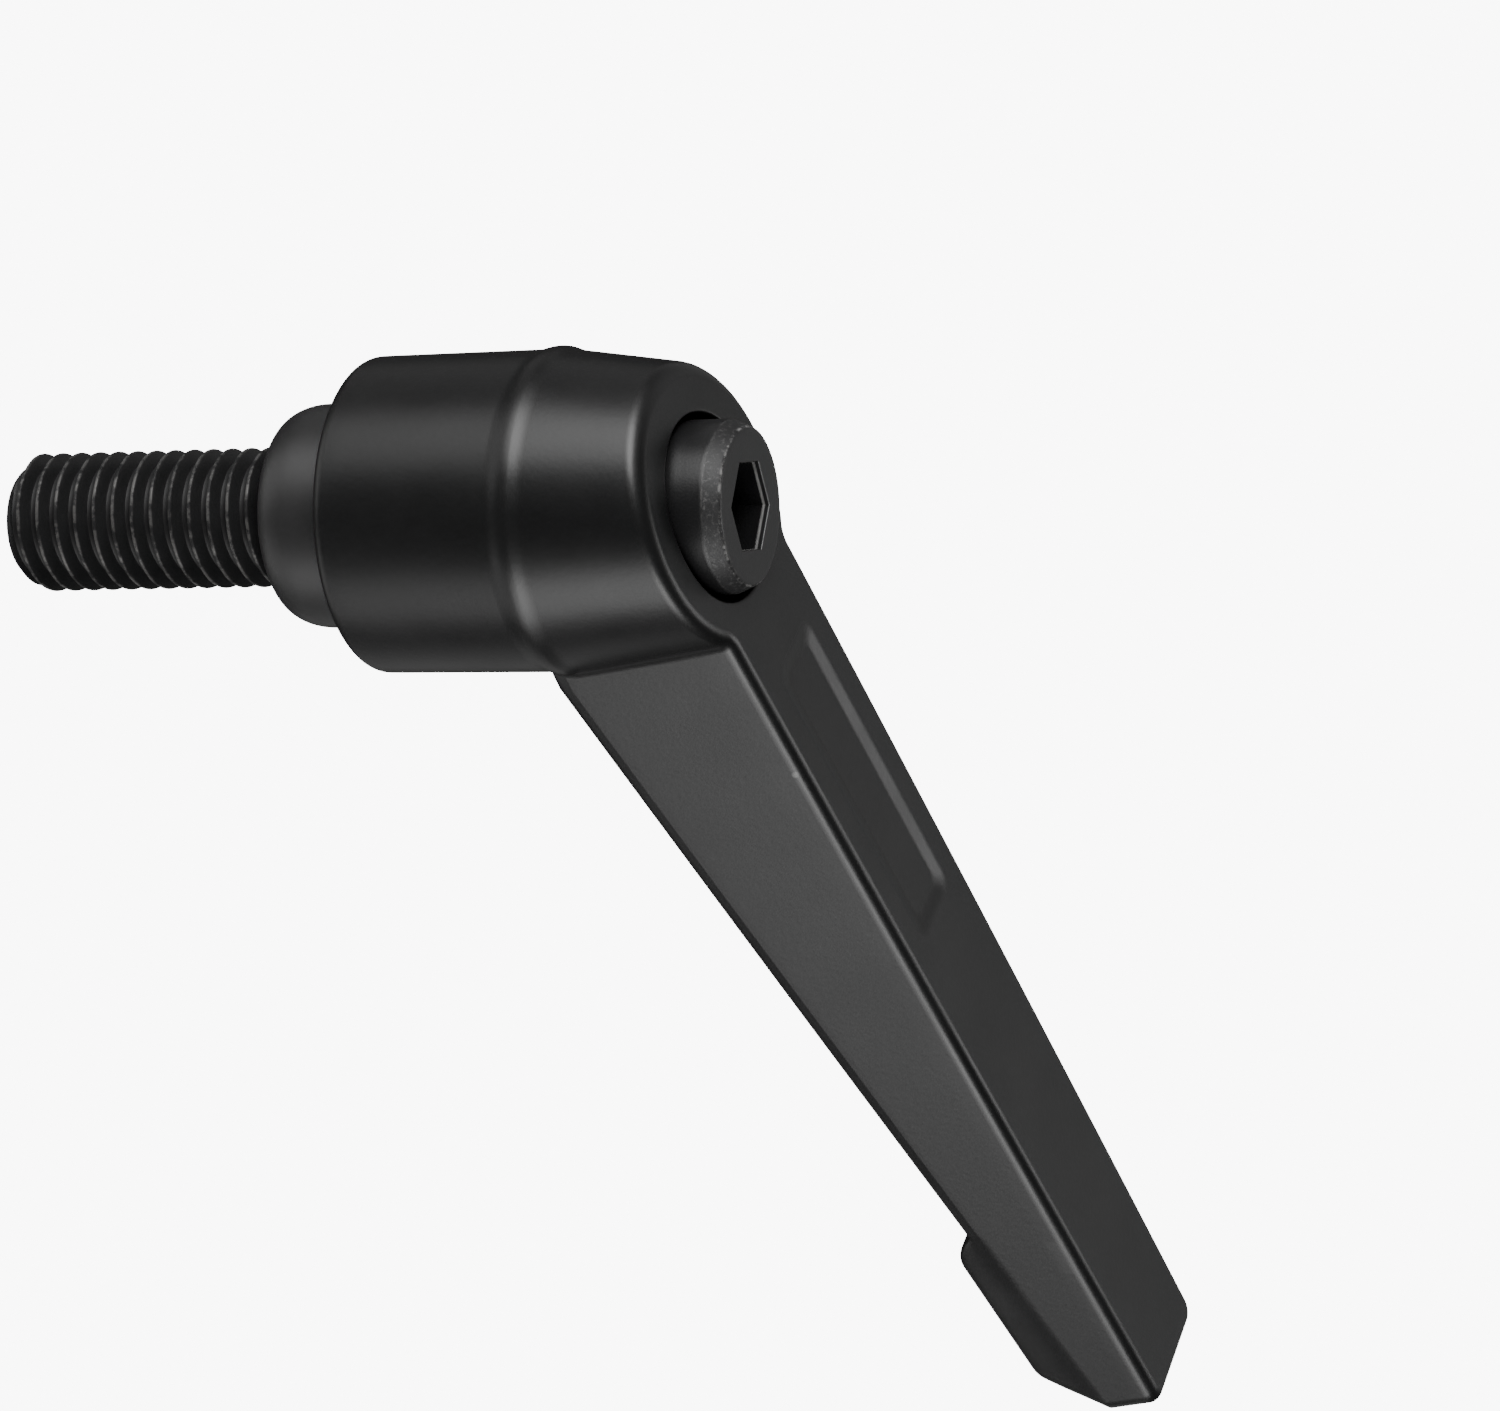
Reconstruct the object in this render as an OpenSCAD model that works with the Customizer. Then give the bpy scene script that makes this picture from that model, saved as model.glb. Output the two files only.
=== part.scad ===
// Adjustable clamping lever with a threaded stud, in millimetres.
// The stud points down along -Z. The arm reaches out along +X and climbs with it.
// The origin is the middle of the boss's lower face, which is pressed on the work.
// The handle lifts along +Z against its spring, turns freely, and drops back over the teeth.

/* [Stud] */
// Nominal diameter of the stud's thread
thread_d = 10; // [8:0.5:11]
// Pitch of the stud's thread
thread_pitch = 1.5; // [1:0.25:1.75]
// How much smaller the thread's crests are cut than the nominal diameter
thread_ease = 0.15; // [0.05:0.05:0.3]
// Length of the stud below the boss
stud_len = 21.2; // [12:0.2:60]
// Height of the chamfer at the stud's end
stud_chamfer = 1.1; // [0.5:0.1:2]
// Length of the stud inside the insert
stud_bite = 7; // [5:0.5:8]

/* [Toothed insert] */
// Diameter of the boss and of the collar that guides the handle
boss_d = 15.7; // [14.8:0.1:17]
// Height of the boss that shows below the hub
boss_show = 6.1; // [4:0.1:10]
// Height of the rounding at the boss's lower edge
boss_edge_h = 2.8; // [1:0.1:3.5]
// Width of the rounding at the boss's lower edge
boss_edge_w = 1.5; // [0.5:0.1:1.7]
// Length of the smooth collar inside the hub
collar_len = 4.2; // [3:0.1:6]
// Number of teeth round the insert
tooth_count = 24; // [16:2:32]
// Length of the teeth along the axis
tooth_len = 4; // [3:0.1:5.5]
// Height of a tooth
tooth_h = 0.85; // [0.5:0.05:1.1]
// How far the tooth tips lie inside the collar's surface
tooth_inset = 0.45; // [0.3:0.05:0.8]
// Thickness of the solid floor between the stud and the screw
insert_floor = 1.5; // [1:0.1:2]

/* [Retaining screw] */
// Diameter of the screw's shank and of its thread
shank_d = 8; // [6:0.5:8]
// Pitch of the screw's thread
shank_pitch = 1.25; // [1:0.25:1.5]
// Height of the screw's head
head_h = 6; // [5.4:0.1:8]
// Height of the chamfer round the head's face
head_chamfer_h = 1.2; // [0.4:0.1:1.6]
// Width of the chamfer round the head's face
head_chamfer_w = 0.5; // [0.2:0.1:1]
// Hex socket, across its flats
hex_af = 6; // [4:0.5:7]
// Depth of the hex socket
hex_depth = 4.6; // [4.2:0.1:4.8]
// Turn of the hex socket as tightened, in degrees
hex_turn = -4.5; // [-30:0.5:30]

/* [Return spring] */
// Length of the spring as fitted
spring_len = 10.9; // [10.2:0.1:14]
// Diameter of the spring's wire
wire_d = 1; // [0.8:0.1:1.1]
// Number of coils, the two closed end coils among them
coil_count = 5; // [4.5:0.5:6]

/* [Hub] */
// Outer diameter of the hub at its lower edge
hub_d = 22.1; // [21.4:0.1:26]
// Height of the hub's lower part, up to the parting ridge
hub_low_h = 14.9; // [13.5:0.1:18]
// Height from the parting ridge to the sloping face, on the axis
hub_high_h = 10.7; // [9.5:0.1:14]
// Draft of the hub's lower part, in degrees
hub_draft = 0.4; // [0.1:0.1:1]
// Taper of the hub's upper part, in degrees
hub_taper = 7.7; // [4:0.1:10]
// Rounding of the hub's lower edge
hub_edge_r = 1; // [0.5:0.1:1.5]
// How far the parting ridge stands proud of the hub
ridge_h = 0.3; // [0.1:0.05:0.4]
// Height over which the parting ridge swells and falls away again
ridge_w = 3.4; // [2:0.1:4]
// Thickness of the wall between the teeth and the counterbore
web_t = 3; // [2:0.1:4]
// Diameter of the counterbore round the screw's head
bore_d = 13; // [12.6:0.1:14]

/* [Arm] */
// Reach of the arm, from the hub's axis to the end of its top face
arm_reach = 79.4; // [60:0.2:100]
// Slope of the arm's top face and of the hub's top face, in degrees
top_slope = 11.7; // [6:0.1:16]
// Width of the arm's top face where it would meet the axis
arm_root_w = 13; // [10:0.1:14]
// Width of the arm's top face at its end
arm_tip_w = 10.5; // [7:0.1:12]
// How much wider the arm's middle is than a straight taper
arm_bow = 0.38; // [0:0.02:0.8]
// Depth of the arm's side at its end, down to the parting line
arm_tip_depth = 4.2; // [3.5:0.1:7]
// Draft of the arm's sides, in degrees
arm_draft = 2.5; // [1:0.1:4]
// Draft of the arm's end, in degrees
end_draft = 10; // [4:0.5:14]
// Depth of the arm below the parting line
lip_h = 1.3; // [0.9:0.1:2]
// Draft below the parting line, in degrees
lip_draft = 8; // [4:0.5:14]
// Fillet between the hub and the arm's sides
fillet_r = 1.5; // [0.8:0.1:2.5]
// Rounding of the long edges
edge_r = 0.65; // [0.3:0.05:0.8]
// Rounding of the corners at the arm's end
tip_r = 1.6; // [1:0.1:2.5]

/* [Finger nub] */
// Distance of the nub's foot from the end of the arm
nub_start = 17; // [13:0.1:22]
// Drop of the nub below the arm at its front
nub_drop = 2.3; // [1.5:0.1:3.5]
// Further drop of the nub at its tail
nub_fall = 0.7; // [0:0.1:1]
// Length of the curved rise at the nub's front
nub_ramp = 3.4; // [2.5:0.1:5]
// How far the nub's tail is cut back below the arm's end
nub_tail = 3; // [2:0.1:4]

/* [Recess] */
// Start of the recess in the top face, from the axis
recess_start = 12.2; // [11:0.1:16]
// Length of the recess
recess_len = 24.2; // [12:0.1:40]
// Width of the recess at its start
recess_w = 5.9; // [4:0.1:7]
// Width of the recess at its far end
recess_end_w = 5; // [3.5:0.1:6]
// Corner radius of the recess
recess_r = 1.6; // [0.8:0.1:1.7]
// Depth of the recess
recess_depth = 0.35; // [0.2:0.05:0.6]

/* [Clearances] */
// Running clearance of the handle on the collar, on the radius
guide_gap = 0.05; // [0.03:0.01:0.1]
// Clearance between the two sets of teeth
tooth_gap = 0.12; // [0.08:0.01:0.2]
// Clearance of a bonded thread, on the radius
thread_gap = 0.02; // [0.01:0.01:0.03]
// Clearance round the screw's shank in the web, on the radius
shank_gap = 0.3; // [0.2:0.05:0.5]
// Clearance round the screw's head, on the radius
head_gap = 0.5; // [0.3:0.05:0.7]
// Clearance round the spring, on the radius
spring_gap = 0.6; // [0.4:0.05:0.8]
// How far the handle lifts past the end of the teeth
lift_spare = 0.6; // [0.3:0.1:1]

/* [Hidden] */
$fn = 96;

// Heights along the axis
hub_z = boss_show;
tooth_z = hub_z + collar_len;
insert_top = tooth_z + tooth_len;
web_top = insert_top + web_t;
head_z = web_top + spring_len;
face_z = head_z + head_h;
screw_end = stud_bite + insert_floor;
ridge_z = hub_z + hub_low_h;
axis_top_z = ridge_z + hub_high_h;
lift = tooth_len + lift_spare;

// Radii
stud_r = (thread_d - thread_ease) / 2;
// Two threads that are screwed together meet at their pitch radius, and are drawn at it
half_depth = 0.6495 / 2;
stud_held_r = thread_d / 2 - half_depth * thread_pitch;
screw_held_r = shank_d / 2 - half_depth * shank_pitch;
mouth_r = thread_d / 2 + 0.2;
boss_r = boss_d / 2;
guide_r = boss_r + guide_gap;
tip_tooth_r = boss_r - tooth_inset;
root_tooth_r = tip_tooth_r - tooth_h;
shank_r = shank_d / 2;
bore_r = bore_d / 2;
head_r = bore_r - head_gap;
coil_r = bore_r - spring_gap - wire_d / 2;
wall_r = hub_d / 2 + hub_low_h * tan(hub_draft);

// Slopes of the arm's faces
top_tan = tan(top_slope);
taper_tan = tan(hub_taper);
side_tan = tan(arm_draft);
end_tan = tan(end_draft);
lip_tan = tan(lip_draft);
root_x = wall_r + 0.8;
join_x = wall_r * 0.72;
join_w = wall_r * 0.14;
under_tan = (top_z(arm_reach) - arm_tip_depth - ridge_z) / (arm_reach - root_x);
part_reach = arm_reach + arm_tip_depth * end_tan;
tail_x = part_reach - nub_tail;
nub_x = arm_reach - nub_start;
eps = 0.01;

// Points along each stretch of half the handle's outline
arc_n = 30;
fillet_n = 6;
side_n = 7;
ramp_n = 6;
tail_n = 3;
corner_n = 5;
round_n = 3;
ridge_n = 12;

function mix(a, b, t) = a + (b - a) * t;

// Heights of the handle's faces at a distance x from the axis
function top_z(x) = axis_top_z + x * top_tan;
// The parting line runs level round the hub, and drops to the arm's straight one beside it
function part_z(x) = ridge_z + (x - root_x) * under_tan * min(1, max(0, (x - join_x) / join_w));
function nub_depth(x) =
    x <= nub_x ? 0
    : x < nub_x + nub_ramp ? nub_drop * sin(90 * (x - nub_x) / nub_ramp)
    : nub_drop + nub_fall * (x - nub_x - nub_ramp) / (tail_x - nub_x - nub_ramp);
function under_z(x) = part_z(x) - lip_h - nub_depth(x);

// A row of the outline is [on top, underneath, inset, distance from the face]
top_rows = [for (k = [0:round_n]) let (a = 90 - 90 * k / round_n)
    [1, 0, edge_r * (1 - cos(a)), edge_r * (1 - sin(a))]];
under_rows = [for (k = [0:round_n]) let (a = 90 * k / round_n)
    [0, 1, edge_r * (1 - cos(a)), edge_r * (1 - sin(a))]];
rows = concat(top_rows, [[0, 0, 0, 0]], under_rows);

function row_z(x, row) =
    row[0] > 0 ? top_z(x) - row[3]
    : row[1] > 0 ? under_z(min(x, tail_x)) + row[3]
    : part_z(x);
function hub_wall(z) = wall_r - max(0, z - ridge_z) * taper_tan - max(0, ridge_z - z) * lip_tan;
function hub_radius(a, row, r, n) =
    n == 0 ? r : hub_radius(a, row, hub_wall(row_z(r * cos(a), row)) - row[2], n - 1);
function arm_half(x) =
    let (t = x / arm_reach) mix(arm_root_w, arm_tip_w, t) / 2 + 2 * arm_bow * t * (1 - t);
function side_y(x, row) =
    let (z = row_z(x, row), p = part_z(x))
    arm_half(x) + (top_z(x) - max(z, p)) * side_tan - max(0, p - z) * lip_tan - row[2];
function end_x(row) =
    row[1] > 0 ? tail_x + row[3] * nub_tail / (lip_h + nub_drop + nub_fall) - row[2]
    : arm_reach + (row[0] > 0 ? row[3] : arm_tip_depth) * end_tan - row[2];

// Half of one row: hub, fillet, arm side and corner
function half_row(row) =
    let (
        hub_here = hub_radius(34, row, wall_r, 4),
        side_here = side_y(wall_r * 0.82, row),
        fillet_here = fillet_r + row[2],
        centre_y = side_here + fillet_here,
        centre_x = sqrt(pow(hub_here + fillet_here, 2) - pow(centre_y, 2)),
        start = atan2(centre_y, centre_x),
        last_x = end_x(row),
        corner = tip_r - row[2] / 2,
        turn_x = last_x - corner,
        corner_y = side_y(turn_x, row) - corner,
        side_x = concat(
            [for (k = [1:side_n]) mix(centre_x, nub_x, k / side_n)],
            [for (k = [1:ramp_n]) nub_x + nub_ramp * k / ramp_n],
            [for (k = [1:tail_n]) mix(nub_x + nub_ramp, turn_x - 0.2, k / tail_n)])
    )
    concat(
        [for (k = [0:arc_n - 1]) let (a = mix(180, start, k / arc_n), r = hub_radius(a, row, wall_r, 4))
            [r * cos(a), r * sin(a), row_z(r * cos(a), row)]],
        [for (k = [0:fillet_n]) let (a = mix(180 + start, 270, k / fillet_n), x = centre_x + fillet_here * cos(a))
            [x, centre_y + fillet_here * sin(a), row_z(x, row)]],
        [for (x = side_x) [x, side_y(x, row), row_z(x, row)]],
        [for (k = [0:corner_n]) let (a = 90 - 90 * k / corner_n, x = turn_x + corner * cos(a))
            [x, corner_y + corner * sin(a), row_z(x, row)]]);

// A whole row runs round the outline, with the second half mirrored
function full_row(row) =
    let (half = half_row(row), last = len(half) - 1)
    concat(half, [for (k = [0:last - 1]) let (q = half[last - k]) [q[0], -q[1], q[2]]]);

// Upper half of the casting, the whole arm and the nub, as one skin of stacked rows
module handle_skin() {
    points = [for (row = rows) each full_row(row)];
    per_row = len(full_row(rows[0]));
    row_count = len(rows);
    half = (per_row - 1) / 2;
    walls = [for (j = [0:row_count - 2]) for (i = [0:per_row - 1])
        let (a = j * per_row + i, b = j * per_row + (i + 1) % per_row)
        each [[a, b + per_row, b], [a, a + per_row, b + per_row]]];
    bottom = (row_count - 1) * per_row;
    lids = [for (i = [0:half - 1])
        let (a = i, b = i + 1, c = per_row - i - 1, d = (per_row - i) % per_row)
        each [
            if (i > 0) [a, b, d],
            [b, c, d],
            if (i > 0) [bottom + a, bottom + d, bottom + b],
            [bottom + b, bottom + d, bottom + c]]];
    polyhedron(points = points, faces = concat(walls, lids), convexity = 8);
}

// Lower part of the hub, with its rounded edge, its draft and the soft parting ridge
module hub_low() {
    edge = [for (k = [0:6]) let (a = 90 * k / 6)
        [hub_d / 2 - hub_edge_r * (1 - sin(a)), hub_z + hub_edge_r * (1 - cos(a))]];
    ridge = [for (k = [1:ridge_n - 1]) let (z = ridge_z + ridge_w * (k / ridge_n - 0.5))
        [wall_r - max(0, z - ridge_z) * taper_tan - max(0, ridge_z - z) * tan(hub_draft)
            + ridge_h * (1 - cos(360 * k / ridge_n)) / 2, z]];
    top = ridge_z + ridge_w / 2;
    rotate_extrude()
        polygon(concat([[0, hub_z]], edge, ridge, [[wall_r - 1, top], [0, top]]));
}

// Outline of a ring of teeth: each tooth has a flat tip, two flanks and a flat root
module tooth_ring(root_r, tip_r, grow) {
    pitch = 360 / tooth_count;
    flat = 0.14;
    // Turning by the flank's share of the clearance keeps both sides of a tooth free
    extra = grow / tip_r * 180 / PI * 0.6;
    polygon([for (k = [0:tooth_count - 1]) for (c = [
            [root_r, -(0.5 - flat) * pitch - extra], [tip_r, -flat * pitch - extra],
            [tip_r, flat * pitch + extra], [root_r, (0.5 - flat) * pitch + extra]])
        let (a = k * pitch + c[1]) c[0] * [cos(a), sin(a)]]);
}

module recess() {
    translate([0, 0, axis_top_z])
        rotate([0, -top_slope, 0])
            translate([0, 0, -recess_depth])
                linear_extrude(recess_depth + 1)
                    hull() {
                        for (s = [-1, 1]) {
                            translate([recess_start + recess_r, s * (recess_w / 2 - recess_r)])
                                circle(r = recess_r, $fn = 32);
                            translate([recess_start + recess_len - recess_r, s * (recess_end_w / 2 - recess_r)])
                                circle(r = recess_r, $fn = 32);
                        }
                    }
}

// Die-cast handle: hub, arm and nub, with the guide bore, the teeth, the web and the counterbore
module handle() {
    color([0.11, 0.11, 0.12])
        difference() {
            union() {
                hub_low();
                handle_skin();
            }
            translate([0, 0, hub_z - 1])
                cylinder(r = guide_r, h = collar_len + 1);
            translate([0, 0, hub_z - eps])
                cylinder(r1 = guide_r + 0.4, r2 = guide_r, h = 0.4);
            translate([0, 0, tooth_z - eps])
                linear_extrude(tooth_len + eps)
                    tooth_ring(root_tooth_r + tooth_gap, tip_tooth_r + tooth_gap, tooth_gap);
            translate([0, 0, insert_top - 1])
                cylinder(r = shank_r + shank_gap, h = web_t + 2);
            translate([0, 0, web_top])
                cylinder(r = bore_r, h = axis_top_z);
            recess();
        }
}

// Steel insert: rounded boss, guide collar and a ring of teeth, threaded from both ends
module toothed_insert() {
    edge = [for (k = [0:8]) let (a = 90 * k / 8)
        [boss_r - boss_edge_w * (1 - sin(a)), boss_edge_h * (1 - cos(a))]];
    color([0.17, 0.17, 0.18])
        difference() {
            union() {
                rotate_extrude()
                    polygon(concat([[0, 0]], edge, [[boss_r, tooth_z - eps], [0, tooth_z - eps]]));
                translate([0, 0, tooth_z - 1])
                    linear_extrude(tooth_len + 1)
                        tooth_ring(root_tooth_r, tip_tooth_r, 0);
            }
            translate([0, 0, -1])
                cylinder(r = stud_held_r + thread_gap, h = stud_bite + 1);
            translate([0, 0, -eps])
                cylinder(r1 = mouth_r + eps, r2 = stud_held_r, h = mouth_r - stud_held_r + eps);
            translate([0, 0, screw_end])
                cylinder(r = screw_held_r + thread_gap, h = insert_top);
        }
}

// Threaded stud, drawn at the size over its thread's crests where it stands free
module threaded_stud() {
    color([0.13, 0.13, 0.14])
        translate([0, 0, -stud_len])
            rotate_extrude()
                polygon([[0, 0], [stud_r - stud_chamfer, 0], [stud_r, stud_chamfer], [stud_r, stud_len],
                    [stud_held_r, stud_len], [stud_held_r, stud_len + stud_bite], [0, stud_len + stud_bite]]);
}

// Hex-socket shoulder screw that holds the handle and its spring on the insert
module retaining_screw() {
    hex_r = hex_af / 2 / cos(30);
    color([0.14, 0.14, 0.15])
        difference() {
            rotate_extrude()
                polygon([[0, screw_end], [screw_held_r - 0.6, screw_end], [screw_held_r, screw_end + 0.6],
                    [screw_held_r, insert_top], [shank_r, insert_top], [shank_r, head_z], [head_r, head_z],
                    [head_r, face_z - head_chamfer_h], [head_r - head_chamfer_w, face_z], [0, face_z]]);
            translate([0, 0, face_z - hex_depth])
                rotate([0, 0, hex_turn])
                    cylinder(r = hex_r, h = hex_depth + 1, $fn = 6);
            translate([0, 0, face_z - 0.3])
                cylinder(r1 = hex_r - 0.3, r2 = hex_r, h = 0.3 + eps);
        }
}

// Compression spring with closed ends, ground flat where it seats
module return_spring() {
    steps = 18 * coil_count;
    sides = 8;
    sink = wire_d * 0.28;
    rise = spring_len - 2 * (wire_d / 2 - sink);
    // The first and the last coil lie almost flat, and the coils between share the rest
    function path_z(t) =
        let (n = t * coil_count, low = min(n, 1) * wire_d, high = max(0, n - coil_count + 1) * wire_d,
            middle = max(0, min(n, coil_count - 1) - 1) / (coil_count - 2))
        low + high + middle * (rise - 2 * wire_d);
    points = [for (k = [0:steps]) let (t = k / steps, a = 360 * coil_count * t,
            z = web_top + wire_d / 2 - sink + path_z(t))
        for (s = [0:sides - 1]) let (b = 360 * s / sides, r = coil_r + wire_d / 2 * cos(b))
            [r * cos(a), r * sin(a), z + wire_d / 2 * sin(b)]];
    skin = [for (k = [0:steps - 1]) for (s = [0:sides - 1])
        let (a = k * sides + s, b = k * sides + (s + 1) % sides)
        each [[a, b, b + sides], [a, b + sides, a + sides]]];
    ends = [[for (s = [0:sides - 1]) sides - 1 - s], [for (s = [0:sides - 1]) steps * sides + s]];
    color([0.45, 0.46, 0.48])
        intersection() {
            polyhedron(points = points, faces = concat(skin, ends), convexity = 10);
            translate([0, 0, web_top])
                cylinder(r = bore_r, h = spring_len);
        }
}

handle();
toothed_insert();
threaded_stud();
retaining_screw();
return_spring();
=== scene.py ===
"""Looks of the adjustable clamping lever: coated handle, blackened steel insert, stud, screw and spring.

Lengths are in millimetres while a piece is shaped, and in metres once its mesh is made.
The frame is the part's own: the stud points down along -Z and the arm reaches out along +X.
"""

import math

import bmesh
import bpy
import numpy as np
from mathutils import Matrix, Vector


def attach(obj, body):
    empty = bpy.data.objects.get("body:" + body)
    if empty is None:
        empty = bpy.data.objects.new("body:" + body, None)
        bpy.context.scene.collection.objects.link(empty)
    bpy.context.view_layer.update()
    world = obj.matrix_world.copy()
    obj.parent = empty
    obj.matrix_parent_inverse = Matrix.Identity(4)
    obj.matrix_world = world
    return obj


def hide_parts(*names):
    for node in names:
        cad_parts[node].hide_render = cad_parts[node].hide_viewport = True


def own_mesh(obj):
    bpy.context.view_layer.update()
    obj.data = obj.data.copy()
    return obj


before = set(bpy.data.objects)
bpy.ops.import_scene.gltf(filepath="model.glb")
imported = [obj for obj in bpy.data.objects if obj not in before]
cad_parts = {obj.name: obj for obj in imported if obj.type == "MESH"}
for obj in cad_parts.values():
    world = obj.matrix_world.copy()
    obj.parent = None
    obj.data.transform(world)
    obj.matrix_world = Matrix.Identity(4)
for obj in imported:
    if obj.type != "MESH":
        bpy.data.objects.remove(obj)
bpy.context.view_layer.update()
MM = 0.001

# Points round a turned form
ROUND = 144
ROUND_FINE = 192
ROUND_SMALL = 96

# Stud, with the height of a crest on the side at angle 0, which sets the thread's turn
STUD_D = 9.85
STUD_LEN = 21.2
STUD_BITE = 7.0
STUD_CHAMFER = 1.1
STUD_EDGE = 0.5
THREAD_PITCH = 1.5
THREAD_DEPTH = 0.92
THREAD_START = -20.66
# Points along one pitch and round one turn, and turns of the grid below the start
THREAD_ROWS = 16
THREAD_SEGMENTS = 120
THREAD_LEAD = 2
# Share of the soft bend in a flank, and slope at which the thread runs out in the insert's mouth
FLANK_SOFT = 0.35
RUN_OUT = 1.03

# Toothed insert
BOSS_R = 7.85
BOSS_EDGE_W = 1.5
BOSS_EDGE_H = 2.8
COLLAR_EDGE = 0.2
MOUTH_R = 5.2
STUD_HELD_R = 4.513
SCREW_HELD_R = 3.594
THREAD_GAP = 0.02
INSERT_FLOOR = 1.5
TOOTH_COUNT = 24
TOOTH_TIP_R = 7.4
TOOTH_ROOT_R = 6.55
# Share of the pitch that is flat at a tooth's tip, and between two teeth at their roots
TOOTH_FLAT = 0.28

# Heights along the axis
HUB_Z = 6.1
TOOTH_Z = 10.3
INSERT_TOP = 14.3
WEB_TOP = 17.3
HEAD_Z = 28.2
FACE_Z = 34.2
# Parting line at the hub, where its draft turns into its taper, and sloping top face
PARTING_Z = 21.0
AXIS_TOP_Z = 31.7

# Retaining screw
END_EDGE = 0.6
SHANK_R = 4.0
HEAD_R = 6.0
HEAD_EDGE = 0.15
HEAD_CHAMFER_H = 1.2
HEAD_CHAMFER_W = 0.5
HEX_AF = 6.0
HEX_DEPTH = 4.6
HEX_TURN = -4.5
# Small step that the broach left below the socket's edge: its depth, and the width across flats below it
HEX_STEP = 0.36
HEX_INNER_AF = 5.9
# Radii of the rings that divide the head's face, and of the one in the socket's floor
FACE_RINGS = (5.0, 4.4)
FLOOR_RING = 1.2

# Return spring, with the share of the wire that is ground off its end coils
WIRE_D = 1.0
COIL_R = 5.4
COIL_COUNT = 5.0
COIL_GROUND = 0.28
COIL_POINTS = 220
WIRE_POINTS = 14

# Hub, with the height of its ridge's crest
HUB_R = 11.05
HUB_DRAFT = 0.4
HUB_TAPER = 7.7
HUB_EDGE_R = 1.0
RIDGE_H = 0.22
RIDGE_W = 2.8
CREST_Z = 20.6
RIDGE_STEPS = 32
# Lifts the turned ridge off the skin under it, so that the two never coincide
RIDGE_PROUD = 0.004
GUIDE_R = 7.9
GUIDE_EDGE = 0.4
WEB_HOLE_R = 4.3
BORE_R = 6.5
BORE_RIM_R = 0.22
BORE_RIM_STEPS = 4
# Clearance round the teeth, and its share on each flank
TOOTH_GAP = 0.12
FLANK_SHARE = 0.6
# How far a form reaches into the one that it meets, and a cutter above the top face
OVERLAP = 0.1
CUT_ABOVE = 0.4

# Arm
ARM_REACH = 79.4
TOP_SLOPE = 11.7
ARM_ROOT_W = 13.0
ARM_TIP_W = 10.5
ARM_BOW = 0.38
ARM_TIP_DEPTH = 4.2
ARM_DRAFT = 2.5
END_DRAFT = 10.0
LIP_H = 1.3
LIP_DRAFT = 8.0
FILLET_R = 1.5
# Roundings of the upper edge, the lower edge and the arm's end in plan
EDGE_R = 1.0
UNDER_R = 0.65
TIP_R = 1.3

# Levels of the handle's skin: steps round an edge, and shares of the height between the edges
EDGE_STEPS = 6
SIDE_SHARES = (0.8, 0.6, 0.4, 0.2, 0.08)
LIP_SHARES = (0.12, 0.25, 0.42, 0.65, 0.9)
# Steps of half a level's outline: hub, fillet, arm up to the nub, nub's ramp, the rest of the nub, corner
HUB_STEPS = 72
FILLET_STEPS = 12
ARM_STEPS = 44
RAMP_STEPS = 14
NUB_STEPS = 12
TIP_STEPS = 8

# Small light spot on the arm's near edge: place along the arm, depth below the top face, radius
LIGHT_SPOT_X = 18.4
LIGHT_SPOT_DEPTH = 0.75
LIGHT_SPOT_R = 0.3

# Finger nub
NUB_START = 17.0
NUB_DROP = 2.3
NUB_FALL = 0.7
NUB_RAMP = 3.4
NUB_TAIL = 3.0
NUB_DRAFT = 2.5

# Recess, at its upper edge, with the widths of its soft side walls and end walls
RECESS_START = 12.1
RECESS_LEN = 24.9
RECESS_W = 6.8
RECESS_END_W = 6.7
RECESS_R = 1.2
RECESS_FLOOR_R = 0.8
RECESS_DEPTH = 0.26
RECESS_WALL = 1.3
RECESS_END_WALL = 1.6
RECESS_STEPS = 12

# Shading: angle from which an edge stays sharp, and how much large faces outweigh small ones
EDGE_ANGLE = 32
FACE_WEIGHT = 60


def mix(a, b, t):
    return a + (b - a) * t


def slope(degrees):
    return math.tan(math.radians(degrees))


def spread(a, b, count):
    """count steps from a to b, without a itself."""
    return [mix(a, b, k / count) for k in range(1, count + 1)]


def polar(r, a, *z):
    """A point at this radius and angle in radians, with its height if one is given."""
    return (r * math.cos(a), r * math.sin(a), *z)


def arc(centre, radii, start, end, count):
    """Points of an arc with a radius along each axis, from start to end in radians."""
    turns = [mix(start, end, k / count) for k in range(count + 1)]
    return [(centre[0] + radii[0] * math.cos(a), centre[1] + radii[1] * math.sin(a)) for a in turns]


# Derived sizes
TOP_TAN = slope(TOP_SLOPE)
TAPER_TAN = slope(HUB_TAPER)
SIDE_TAN = slope(ARM_DRAFT)
END_TAN = slope(END_DRAFT)
LIP_TAN = slope(LIP_DRAFT)
NUB_TAN = slope(NUB_DRAFT)
DRAFT_TAN = slope(HUB_DRAFT)
WALL_R = HUB_R + (PARTING_Z - HUB_Z) * DRAFT_TAN
# Start of the underside's slope, and the stretch over which the parting line leaves the level
ROOT_X = WALL_R + 0.8
JOIN_X = WALL_R * 0.72
JOIN_W = WALL_R * 0.14
# Where the fillet takes the hub's radius and the arm's side
FILLET_ANGLE = math.radians(34)
FILLET_X = WALL_R * 0.82
TIP_TOP_Z = AXIS_TOP_Z + ARM_REACH * TOP_TAN
UNDER_TAN = (TIP_TOP_Z - ARM_TIP_DEPTH - PARTING_Z) / (ARM_REACH - ROOT_X)
NUB_X = ARM_REACH - NUB_START
RAMP_X = NUB_X + NUB_RAMP
TAIL_X = ARM_REACH + ARM_TIP_DEPTH * END_TAN - NUB_TAIL


# Mesh helpers


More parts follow.
